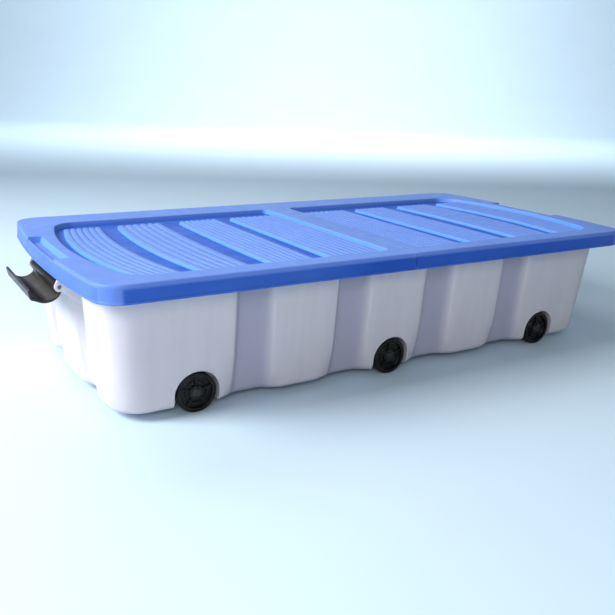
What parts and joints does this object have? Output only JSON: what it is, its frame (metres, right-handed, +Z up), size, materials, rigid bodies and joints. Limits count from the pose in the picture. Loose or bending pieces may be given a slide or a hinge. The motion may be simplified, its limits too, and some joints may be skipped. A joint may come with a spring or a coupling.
{
  "type": "under bed storage box",
  "caption": "Low rolling storage box with a corrugated translucent tub, a lid in two folding halves, hooked end handles and wheels in side wells.",
  "frame": {"origin": "on the floor under the middle of the box, where the wheels stand", "axes": "+X along the length, +Y towards the back, +Z up"},
  "size_m": [0.8526, 0.408, 0.17],
  "materials": {
    "tub_plastic": "frosted translucent moulded polypropylene",
    "lid_plastic": "satin moulded polypropylene with a fine grain",
    "black_plastic": "satin with moulded grip ribs",
    "wheel_plastic": "semi gloss with turning marks",
    "axle_plastic": "semi gloss",
    "rod_steel": "drawn steel wire"
  },
  "bodies": {
    "tub": {"tub": "tub_plastic", "handle_rod_left": "rod_steel", "handle_rod_right": "rod_steel", "axle_front_left": "axle_plastic", "axle_front_middle": "axle_plastic", "axle_front_right": "axle_plastic", "axle_back_left": "axle_plastic", "axle_back_middle": "axle_plastic", "axle_back_right": "axle_plastic"},
    "lid_left": {"lid_left": "lid_plastic"},
    "lid_right": {"lid_right": "lid_plastic"},
    "handle_left": {"handle_left": "black_plastic"},
    "handle_right": {"handle_right": "black_plastic"},
    "wheel_front_left": {"wheel_front_left": "wheel_plastic"},
    "wheel_front_middle": {"wheel_front_middle": "wheel_plastic"},
    "wheel_front_right": {"wheel_front_right": "wheel_plastic"},
    "wheel_back_left": {"wheel_back_left": "wheel_plastic"},
    "wheel_back_middle": {"wheel_back_middle": "wheel_plastic"},
    "wheel_back_right": {"wheel_back_right": "wheel_plastic"}
  },
  "joints": [
    {"name": "lid_left_fold", "type": "hinge", "parent": "tub", "child": "lid_left", "pos_m": [0, 0, 0.17], "axis": [0, 1, 0], "range_deg": [0, 88]},
    {"name": "lid_right_fold", "type": "hinge", "parent": "tub", "child": "lid_right", "pos_m": [0, 0, 0.17], "axis": [0, -1, 0], "range_deg": [0, 88]},
    {"name": "handle_left_swing", "type": "hinge", "parent": "tub", "child": "handle_left", "pos_m": [-0.393, 0, 0.1375], "axis": [0, 1, 0], "range_deg": [0, 97]},
    {"name": "handle_right_swing", "type": "hinge", "parent": "tub", "child": "handle_right", "pos_m": [0.393, 0, 0.1375], "axis": [0, -1, 0], "range_deg": [0, 97]},
    {"name": "wheel_front_left_spin", "type": "hinge", "parent": "tub", "child": "wheel_front_left", "pos_m": [-0.271, -0.154, 0.024], "axis": [0, 1, 0], "continuous": true},
    {"name": "wheel_front_middle_spin", "type": "hinge", "parent": "tub", "child": "wheel_front_middle", "pos_m": [0, -0.154, 0.024], "axis": [0, 1, 0], "continuous": true},
    {"name": "wheel_front_right_spin", "type": "hinge", "parent": "tub", "child": "wheel_front_right", "pos_m": [0.271, -0.154, 0.024], "axis": [0, 1, 0], "continuous": true},
    {"name": "wheel_back_left_spin", "type": "hinge", "parent": "tub", "child": "wheel_back_left", "pos_m": [-0.271, 0.154, 0.024], "axis": [0, 1, 0], "continuous": true},
    {"name": "wheel_back_middle_spin", "type": "hinge", "parent": "tub", "child": "wheel_back_middle", "pos_m": [0, 0.154, 0.024], "axis": [0, 1, 0], "continuous": true},
    {"name": "wheel_back_right_spin", "type": "hinge", "parent": "tub", "child": "wheel_back_right", "pos_m": [0.271, 0.154, 0.024], "axis": [0, 1, 0], "continuous": true}
  ]
}
